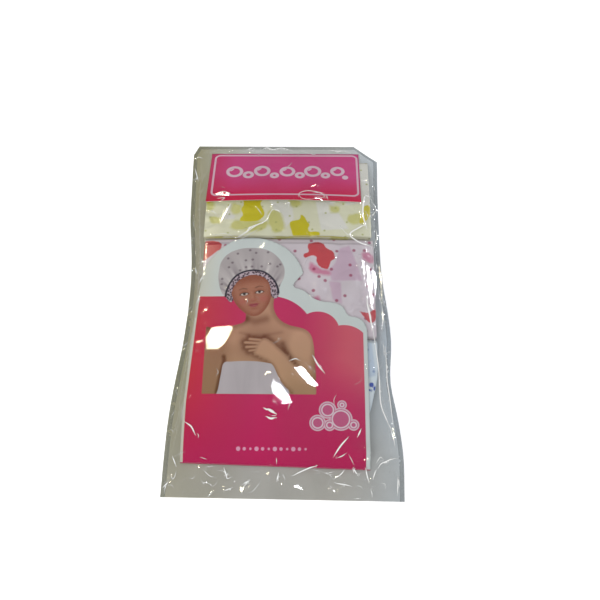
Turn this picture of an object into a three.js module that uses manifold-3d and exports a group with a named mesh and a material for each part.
// A retail pack of folded shower caps. Three caps lie in a row inside a folded printed card, whose header
// folds down over the far cap and whose front panel folds up over the near one. The card slides out of a
// clear film bag through the bag's open mouth.
// Millimetres, +Z up. The origin is under the middle of the bag; +Y runs from the mouth to the sealed end.
import * as THREE from "three";
import { mergeVertices } from "three/addons/utils/BufferGeometryUtils.js";
import Module from "manifold-3d";

// Driving dimensions
const filmThickness = 0.1;
const cardThickness = 0.4;
const layerGap = 0.3; // between loose layers
const stackHeight = 11.9; // of a folded cap, pressed between the card's panels

const cardWidth = 120;
const cardLength = 252; // from the bottom crease to the top crease
const cardOffset = -3; // the card has slipped to the left in its bag

const headerDepth = 54.5; // seen from above
const headerWidth = 115.5; // at its free edge
const headerCreaseWidth = 115;
const headerSpring = 1; // the free edge stands off the cap below it

const capWidth = 123;
const capOffset = 1;
const creaseInset = 8; // from a crease to the nearest cap
const capSpacing = 0.6; // between neighbouring caps
const foldGap = 0.85; // between the plies of a folded cap
const elasticWidth = 3;
const elasticInset = 14; // from the cap's folds to the elastic
const elasticSideInset = 9; // from the cap's open sides to the elastic
const elasticBend = 12; // radius of its corners

const sealWidth = 3;
const mouthLip = 21.5; // empty film past the card's bottom crease
const endSlack = 10.5; // film past the card's top crease
const wallRun = 2.2; // across which the front film comes down beside the contents, at the bag's waist
const bagFlare = 8; // extra half width where the bag is widest
const filmCrown = 0.8; // the front film stands higher along its middle
const stationSpacing = 8; // between the rows of points along the film

// Counts
const capCount = 3;
const plyCount = 5;
const plySteps = 9;
const bendSteps = 5;
const capSlices = 6;
const elasticPoints = 60;
const lidSteps = 22;
const filmColumns = 8; // between the tops of the film's side walls
const curvePoints = 8;

// How the lid over the caps rises from the bottom crease, in shares of the card's length and the stack's
// height
const riseStationShares = [0, 0.015, 0.03, 0.06, 0.1, 0.17, 0.24, 0.32, 0.4, 0.52, 0.66, 1];
const riseHeightShares = [0, 0.16, 0.29, 0.44, 0.57, 0.72, 0.82, 0.895, 0.945, 0.985, 1, 1];

// How far each edge of the bag flares beyond its waist: shares of the bag's length, and of the flare
const flareStationShares = [0, 0.1, 0.19, 0.28, 0.39, 0.53, 0.61, 0.75, 0.84, 0.94, 1];
const leftFlareShares = [1, 0.99, 0.9, 0.64, 0.25, 0, 0.08, 0.55, 0.68, 0.8, 0.85];
const rightFlareShares = [0.93, 1, 0.72, 0.3, 0.5, 0.07, 0, 0, 0.02, 0.1, 0.12];

// The bag's far corners are cut off: [across, along]
const leftCorner = [4, 9];
const rightCorner = [18, 16];

// The front panel's free edge is a cloud. Its big arc is centred at these shares of the card's width and
// length.
const cloudCentreShares = [-0.179, 0.508];
// The rest of the cloud is placed from that centre, in shares of the card's width. From right to left, it
// starts on the card's right side, and each row is a curve's control point and its end.
const cloudStartShare = -0.321;
const cloudCurveShares = [
  [0.675, -0.229, 0.596, -0.22],
  [0.558, -0.216, 0.55, -0.183],
  [0.533, -0.13, 0.446, -0.126],
  [0.379, -0.12, 0.346, -0.084],
  [0.308, -0.04, 0.267, -0.036],
  [0.241, -0.023, 0.259, 0.006],
  [0.29, 0.048, 0.304, 0.063],
];
const arcRadiusShare = 0.314;
const arcStart = THREE.MathUtils.degToRad(13);
const arcEnd = THREE.MathUtils.degToRad(138);
const cloudLeftControlShares = [-0.271, 0.179];
const cloudEndShare = 0.141;

const capEdgeDropShare = 0.18; // of the stack's height, lost at a cap's open sides
const elasticFillShare = 0.35; // of the gap between two plies
const ceilingPower = 14; // of the rounded corner between the lid and the header
const kneeRunShare = 0.45; // of the film's side wall, where it turns over the contents
const kneeHeightShare = 0.86;
const mouthRiseShare = 0.28; // of the mouth's lip, over which the film lifts off

// Worked-out levels and places
const bagLength = mouthLip + cardLength + endSlack;
const mouthY = -bagLength / 2;
const endY = bagLength / 2;
const bottomCreaseY = mouthY + mouthLip;
const topCreaseY = bottomCreaseY + cardLength;
const headerEdgeY = topCreaseY - headerDepth;

const sealBase = filmThickness;
const flangeBase = sealBase + filmThickness;
const cardBase = filmThickness + layerGap;
const capBase = cardBase + cardThickness + layerGap;

const contentsLeft = Math.min(cardOffset - cardWidth / 2, capOffset - capWidth / 2) - layerGap;
const contentsRight = Math.max(cardOffset + cardWidth / 2, capOffset + capWidth / 2) + layerGap;
const leftWaist = -contentsLeft + wallRun + sealWidth;
const rightWaist = contentsRight + wallRun + sealWidth;
const bagHalfWidth = Math.max(leftWaist, rightWaist) + bagFlare;

const capDepth = (cardLength - 2 * creaseInset - (capCount - 1) * capSpacing) / capCount;
const plyThickness = (stackHeight - (plyCount - 1) * foldGap) / plyCount;

function smoothTable(stationShares, valueShares) {
  return new THREE.CubicInterpolant(stationShares, valueShares, 1);
}

// Lines in the YZ plane, as lists of [y, z] that run towards +Y
const riseTable = smoothTable(riseStationShares, riseHeightShares);

function lidHeight(y) {
  const share = THREE.MathUtils.clamp((y - bottomCreaseY) / cardLength, 0, 1);
  return capBase + stackHeight * riseTable.evaluate(share)[0];
}

// Underside of the header, a straight flap from the top crease to its free edge
function headerHeight(y) {
  const edgeHeight = capBase + stackHeight + layerGap + headerSpring;
  return THREE.MathUtils.mapLinear(y, topCreaseY, headerEdgeY, capBase, edgeHeight);
}

// Top of the caps: the lower of the lid and the header's underside, with the corner between them rounded
function capTop(y) {
  const ceilings = [lidHeight(y), headerHeight(y) - layerGap];
  return ceilings.reduce((sum, height) => sum + height ** -ceilingPower, 0) ** (-1 / ceilingPower);
}

const lidLine = [];
for (let i = 0; i <= lidSteps; i += 1) {
  // stations crowd towards the crease, where the panel bends most
  const share = (i / lidSteps) ** 2;
  const y = THREE.MathUtils.lerp(bottomCreaseY, headerEdgeY, share);
  lidLine.push([y, lidHeight(y) + layerGap]);
}

// Underside of the front film, along the bag's middle
const headerTopGap = cardThickness + layerGap;
const mouthRise = mouthLip * mouthRiseShare;
const filmLine = [
  [mouthY, flangeBase],
  [bottomCreaseY - mouthRise, flangeBase + layerGap],
  ...lidLine.slice(0, -1).map(([y, z]) => [y, z + headerTopGap]),
  [headerEdgeY - headerTopGap, headerHeight(headerEdgeY) + headerTopGap],
  [headerEdgeY, headerHeight(headerEdgeY) + headerTopGap],
  [topCreaseY, headerHeight(topCreaseY) + headerTopGap],
  [endY - sealWidth, flangeBase],
  [endY, flangeBase],
];

function heightOn(line, y) {
  for (let i = 1; i < line.length; i += 1) {
    const [startY, startZ] = line[i - 1];
    const [stopY, stopZ] = line[i];
    if (y <= stopY) {
      return THREE.MathUtils.mapLinear(y, startY, stopY, startZ, stopZ);
    }
  }
  return line.at(-1)[1];
}

// Edges of the bag, seen from above
const leftFlare = smoothTable(flareStationShares, leftFlareShares);
const rightFlare = smoothTable(flareStationShares, rightFlareShares);

function cornerCut(y, [across, along]) {
  return across * Math.max(0, (y - (endY - along)) / along);
}

function leftEdge(y) {
  const flare = leftFlare.evaluate((y - mouthY) / bagLength)[0] * (bagHalfWidth - leftWaist);
  return -leftWaist - flare + cornerCut(y, leftCorner);
}

function rightEdge(y) {
  const flare = rightFlare.evaluate((y - mouthY) / bagLength)[0] * (bagHalfWidth - rightWaist);
  return rightWaist + flare - cornerCut(y, rightCorner);
}

// Stations along the bag: all the fixed ones, with evenly spaced ones between them
function spacedStations(fixed) {
  const sorted = [...fixed].sort((a, b) => a - b);
  const stations = [sorted[0]];
  for (let i = 1; i < sorted.length; i += 1) {
    const steps = Math.ceil((sorted[i] - sorted[i - 1]) / stationSpacing);
    for (let step = 1; step <= steps; step += 1) {
      stations.push(THREE.MathUtils.lerp(sorted[i - 1], sorted[i], step / steps));
    }
  }
  return stations;
}

// Where the cut corners start, except where a fixed station is already close
function cornerStations(fixed) {
  const starts = [endY - leftCorner[1], endY - rightCorner[1]];
  const low = Math.min(...fixed);
  const high = Math.max(...fixed);
  return starts.filter((y) => y > low && y < high && fixed.every((other) => Math.abs(other - y) > layerGap));
}

function stationsBetween(startY, stopY) {
  const ends = [startY, stopY];
  return spacedStations([...ends, ...cornerStations(ends)]);
}

// Helpers for solids
function material(color, roughness, opacity = 1) {
  return new THREE.MeshStandardMaterial({
    color, roughness, metalness: 0, opacity, transparent: opacity < 1,
  });
}

function slab(outline, base, thickness) {
  const geometry = new THREE.ExtrudeGeometry(outline, {
    depth: thickness, bevelEnabled: false, curveSegments: curvePoints,
  });
  return geometry.translate(0, 0, base);
}

function moveVertices(geometry, place) {
  const positions = geometry.attributes.position;
  const point = new THREE.Vector3();
  for (let i = 0; i < positions.count; i += 1) {
    point.fromBufferAttribute(positions, i);
    positions.setXYZ(i, ...place(point).toArray());
  }
  return geometry;
}

// A sheet over rows of points, thickened square to its faces. The share below says how much of the thickness
// lies on its under side. Both sides split their faces along the same diagonals, so they never cross.
function thickSheet(rows, thickness, belowShare = 0) {
  const rowSteps = rows.length - 1;
  const columnSteps = rows[0].length - 1;

  function faceNormal(i, j) {
    const across = rows[j + 1][i + 1].clone().sub(rows[j][i]);
    const along = rows[j + 1][i].clone().sub(rows[j][i + 1]);
    return across.cross(along).normalize();
  }

  // a point moves along the mean of its faces' normals, far enough to clear each face by the thickness
  function offsetAt(i, j) {
    const normals = [];
    for (const row of [j - 1, j].filter((value) => value >= 0 && value < rowSteps)) {
      for (const column of [i - 1, i].filter((value) => value >= 0 && value < columnSteps)) {
        normals.push(faceNormal(column, row));
      }
    }
    const mean = normals.reduce((sum, normal) => sum.add(normal), new THREE.Vector3()).normalize();
    const slant = normals.reduce((sum, normal) => sum + mean.dot(normal), 0) / normals.length;
    return mean.multiplyScalar(thickness / slant);
  }

  const points = [-belowShare, 1 - belowShare].flatMap((side) => rows.flatMap(
    (row, j) => row.map((point, i) => point.clone().addScaledVector(offsetAt(i, j), side)),
  ));
  const upper = points.length / 2;
  const indexOf = (i, j) => j * (columnSteps + 1) + i;
  const triangles = [];
  const border = [];
  for (let j = 0; j < rowSteps; j += 1) {
    for (let i = 0; i < columnSteps; i += 1) {
      const [a, b, c, d] = [indexOf(i, j), indexOf(i + 1, j), indexOf(i + 1, j + 1), indexOf(i, j + 1)];
      triangles.push(upper + a, upper + b, upper + d, upper + b, upper + c, upper + d);
      triangles.push(a, d, b, b, d, c);
    }
  }
  for (let i = 0; i < columnSteps; i += 1) {
    border.push([indexOf(i, 0), indexOf(i + 1, 0)], [indexOf(i + 1, rowSteps), indexOf(i, rowSteps)]);
  }
  for (let j = 0; j < rowSteps; j += 1) {
    border.push([indexOf(0, j + 1), indexOf(0, j)], [indexOf(columnSteps, j), indexOf(columnSteps, j + 1)]);
  }
  for (const [from, to] of border) {
    triangles.push(from, to, upper + to, from, upper + to, upper + from);
  }
  return new THREE.BufferGeometry().setFromPoints(points).setIndex(triangles);
}

const wasm = await Module();
wasm.setup();

function toManifold(geometry) {
  const bare = geometry.clone();
  bare.deleteAttribute("normal");
  bare.deleteAttribute("uv");
  const merged = mergeVertices(bare);
  return new wasm.Manifold(new wasm.Mesh({
    numProp: 3,
    vertProperties: Float32Array.from(merged.attributes.position.array),
    triVerts: Uint32Array.from(merged.index.array),
  }));
}

function fromManifold(solid) {
  const mesh = solid.getMesh();
  const geometry = new THREE.BufferGeometry();
  geometry.setAttribute("position", new THREE.BufferAttribute(mesh.vertProperties, 3));
  geometry.setIndex(new THREE.BufferAttribute(mesh.triVerts, 1));
  return geometry;
}

// Film bag
function strip(stations, leftAt, rightAt) {
  const outline = new THREE.Shape();
  const right = stations.map((y) => new THREE.Vector2(rightAt(y), y));
  const left = stations.map((y) => new THREE.Vector2(leftAt(y), y)).reverse();
  return outline.setFromPoints([...right, ...left]);
}

function backFilm() {
  return slab(strip(stationsBetween(mouthY, endY), leftEdge, rightEdge), 0, filmThickness);
}

function sideSeal(edgeAt, inward) {
  const stations = stationsBetween(mouthY, endY - sealWidth);
  const innerAt = (y) => edgeAt(y) + inward * sealWidth;
  const outline = inward > 0 ? strip(stations, edgeAt, innerAt) : strip(stations, innerAt, edgeAt);
  return slab(outline, sealBase, filmThickness);
}

function endSeal() {
  return slab(strip(stationsBetween(endY - sealWidth, endY), leftEdge, rightEdge), sealBase, filmThickness);
}

// The front film's section at one station: [x, z] from the left edge to the right edge
function filmSection(y) {
  const top = heightOn(filmLine, y);
  const left = leftEdge(y);
  const right = rightEdge(y);
  const leftFoot = left + sealWidth;
  const rightFoot = right - sealWidth;
  const leftTop = Math.max(contentsLeft, leftFoot + sealWidth * (y > topCreaseY));
  const rightTop = Math.min(contentsRight, rightFoot - sealWidth * (y > topCreaseY));
  const lift = top - flangeBase;
  const kneeHeight = flangeBase + lift * kneeHeightShare;
  const section = [
    [left, flangeBase],
    [leftFoot, flangeBase],
    [THREE.MathUtils.lerp(leftTop, leftFoot, kneeRunShare), kneeHeight],
  ];
  for (let i = 0; i <= filmColumns; i += 1) {
    const across = i / filmColumns;
    const crown = 4 * across * (1 - across) * filmCrown * (lift / stackHeight);
    section.push([THREE.MathUtils.lerp(leftTop, rightTop, across), top + crown]);
  }
  section.push([THREE.MathUtils.lerp(rightTop, rightFoot, kneeRunShare), kneeHeight]);
  section.push([rightFoot, flangeBase], [right, flangeBase]);
  return section.map(([x, z]) => new THREE.Vector3(x, y, z));
}

function frontFilm() {
  const fixed = filmLine.map(([y]) => y);
  const rows = spacedStations([...fixed, ...cornerStations(fixed)]);
  return thickSheet(rows.map(filmSection), filmThickness);
}

// Printed card
function backPanel() {
  const outline = new THREE.Shape([
    new THREE.Vector2(cardOffset - cardWidth / 2, bottomCreaseY),
    new THREE.Vector2(cardOffset + cardWidth / 2, bottomCreaseY),
    new THREE.Vector2(cardOffset + cardWidth / 2, topCreaseY),
    new THREE.Vector2(cardOffset - cardWidth / 2, topCreaseY),
  ]);
  return slab(outline, cardBase, cardThickness);
}

function headerFlap() {
  const edge = (y, width) => [-width / 2, width / 2].map(
    (across) => new THREE.Vector3(cardOffset + across, y, headerHeight(y)),
  );
  return thickSheet([edge(headerEdgeY, headerWidth), edge(topCreaseY, headerCreaseWidth)], cardThickness);
}

// Plan of the front panel: straight sides, and a scalloped cloud edge that ends in one big arc
function cloudOutline() {
  const left = cardOffset - cardWidth / 2;
  const right = cardOffset + cardWidth / 2;
  const centre = [
    cardOffset + cloudCentreShares[0] * cardWidth,
    bottomCreaseY + cloudCentreShares[1] * cardLength,
  ];
  const fromCentre = (across, along) => [centre[0] + across * cardWidth, centre[1] + along * cardWidth];
  const outline = new THREE.Shape();
  outline.moveTo(left, bottomCreaseY);
  outline.lineTo(right, bottomCreaseY);
  outline.lineTo(right, fromCentre(0, cloudStartShare)[1]);
  for (const [controlX, controlY, stopX, stopY] of cloudCurveShares) {
    outline.quadraticCurveTo(...fromCentre(controlX, controlY), ...fromCentre(stopX, stopY));
  }
  outline.absarc(...centre, arcRadiusShare * cardWidth, arcStart, arcEnd, false);
  outline.quadraticCurveTo(...fromCentre(...cloudLeftControlShares), left, fromCentre(0, cloudEndShare)[1]);
  return outline;
}

// The panel is the lid line's curved sheet, cut to the cloud outline
function frontPanel() {
  const rows = lidLine.map(([y, z]) => [-cardWidth, cardWidth].map(
    (across) => new THREE.Vector3(cardOffset + across, y, z),
  ));
  const sheet = thickSheet(rows, cardThickness);
  const cutter = slab(cloudOutline(), 0, (capBase + stackHeight) * 2);
  return fromManifold(toManifold(sheet).intersect(toManifold(cutter)));
}

// Folded cap: one strip of film that runs to and fro in plies, as points [along the cap, above its base]
// before it is pressed. The bends alternate between the two ends.
const plyPitch = plyThickness + foldGap;
const plyReach = capDepth / 2 - (plyPitch + plyThickness) / 2; // from the cap's middle to its bends

function foldedStrip() {
  const bendRadius = plyPitch / 2;
  const strip = [];
  for (let ply = 0; ply < plyCount; ply += 1) {
    const heading = ply % 2 === 0 ? 1 : -1;
    const height = plyThickness / 2 + ply * plyPitch;
    for (let i = 0; i <= plySteps; i += 1) {
      strip.push([heading * THREE.MathUtils.lerp(-plyReach, plyReach, i / plySteps), height]);
    }
    for (let i = 1; i < bendSteps && ply < plyCount - 1; i += 1) {
      const angle = (i / bendSteps) * Math.PI;
      const along = heading * (plyReach + bendRadius * Math.sin(angle));
      strip.push([along, height + bendRadius * (1 - Math.cos(angle))]);
    }
  }
  return strip;
}

// Presses a cap between the card's panels: its folded height follows the lid, and drops towards the open
// sides. It is straight between the steps of the plies, so that what lies between them keeps its clearance.
function capPress(centreY) {
  const cover = [];
  for (let i = 0; i <= plySteps; i += 1) {
    const y = centreY + THREE.MathUtils.lerp(-plyReach, plyReach, i / plySteps);
    cover.push([y, capTop(y) - capBase]);
  }
  const sides = [];
  for (let i = 0; i <= capSlices; i += 1) {
    const share = THREE.MathUtils.lerp(-1, 1, i / capSlices);
    sides.push([share * capWidth / 2, 1 - capEdgeDropShare * share ** 4]);
  }
  return (point) => {
    const pressed = (point.z / stackHeight) * heightOn(cover, point.y) * heightOn(sides, point.x);
    return new THREE.Vector3(capOffset + point.x, point.y, capBase + pressed);
  };
}

function capFilm(centreY) {
  const slices = Array.from({ length: capSlices + 1 }, (_, i) => capWidth * (i / capSlices - 1 / 2));
  const rows = foldedStrip().map(([along, level]) => slices.map(
    (across) => new THREE.Vector3(across, centreY + along, level),
  ));
  return moveVertices(thickSheet(rows, plyThickness, 1 / 2), capPress(centreY));
}

// Elastic of a cap: a flat loop in the gap between the second ply and the third
function capElastic(centreY) {
  const halfWidth = capWidth / 2 - elasticSideInset - elasticWidth / 2;
  const halfDepth = capDepth / 2 - elasticInset - elasticWidth / 2;
  const loop = new THREE.Path();
  const corners = [[1, -1], [1, 1], [-1, 1], [-1, -1]];
  corners.forEach(([sideX, sideY], quarter) => {
    const start = (quarter - 1) * (Math.PI / 2);
    const x = sideX * (halfWidth - elasticBend);
    const y = sideY * (halfDepth - elasticBend);
    loop.absarc(x, y, elasticBend, start, start + Math.PI / 2, false);
  });
  loop.closePath();
  const points = loop.getSpacedPoints(elasticPoints);
  const level = 2 * plyPitch - foldGap / 2;
  const press = capPress(centreY);

  // a ring with a four-sided section: its turn gives the place along the loop, and its sides the band's sides
  const ring = new THREE.TorusGeometry(2, 1, 4, elasticPoints);
  return moveVertices(ring, (point) => {
    const turn = (Math.atan2(point.y, point.x) / (2 * Math.PI) + 1) % 1;
    const index = Math.round(turn * elasticPoints) % elasticPoints;
    const before = points[(index + elasticPoints - 1) % elasticPoints];
    const after = points[index + 1];
    const outward = new THREE.Vector2(after.y - before.y, before.x - after.x).normalize();
    const side = Math.hypot(point.x, point.y) - 2;
    const outwards = (side - point.z) * (elasticWidth / 2);
    const upwards = (side + point.z) * (foldGap * elasticFillShare / 2);
    const place = points[index].clone().addScaledVector(outward, outwards);
    return press(new THREE.Vector3(place.x, centreY + place.y, level + upwards));
  });
}

// Materials
const clearFilm = material(0xb4b9b2, 0.12, 0.35);
const sealedFilm = material(0xc9cdc6, 0.25, 0.5);
const boardBack = material(0xe6e6e0, 0.8);
const headerPrint = material(0xb92560, 0.35);
const panelPrint = material(0xb4245f, 0.35);
const yellowFilm = material(0xdfe07a, 0.4, 0.85);
const pinkFilm = material(0xdcc3d6, 0.4, 0.85);
const blueFilm = material(0x8fb4dc, 0.4, 0.85);
const whiteElastic = material(0xf2f2ee, 0.8);

// Assembly
const pack = new THREE.Group();

function add(group, name, geometry, finish) {
  const mesh = new THREE.Mesh(geometry, finish);
  mesh.name = name;
  group.add(mesh);
}

const bag = new THREE.Group();
add(bag, "bag_back_film", backFilm(), clearFilm);
add(bag, "bag_front_film", frontFilm(), clearFilm);
add(bag, "side_seal_left", sideSeal(leftEdge, 1), sealedFilm);
add(bag, "side_seal_right", sideSeal(rightEdge, -1), sealedFilm);
add(bag, "end_seal", endSeal(), sealedFilm);
pack.add(bag);

const card = new THREE.Group();
add(card, "card_back_panel", backPanel(), boardBack);
add(card, "card_header_flap", headerFlap(), headerPrint);
add(card, "card_front_panel", frontPanel(), panelPrint);
pack.add(card);

const caps = [["blue", blueFilm], ["pink", pinkFilm], ["yellow", yellowFilm]];
caps.forEach(([colour, finish], index) => {
  const centreY = bottomCreaseY + creaseInset + capDepth / 2 + index * (capDepth + capSpacing);
  const cap = new THREE.Group();
  add(cap, `${colour}_cap_film`, capFilm(centreY), finish);
  add(cap, `${colour}_cap_elastic`, capElastic(centreY), whiteElastic);
  pack.add(cap);
});

export default pack;
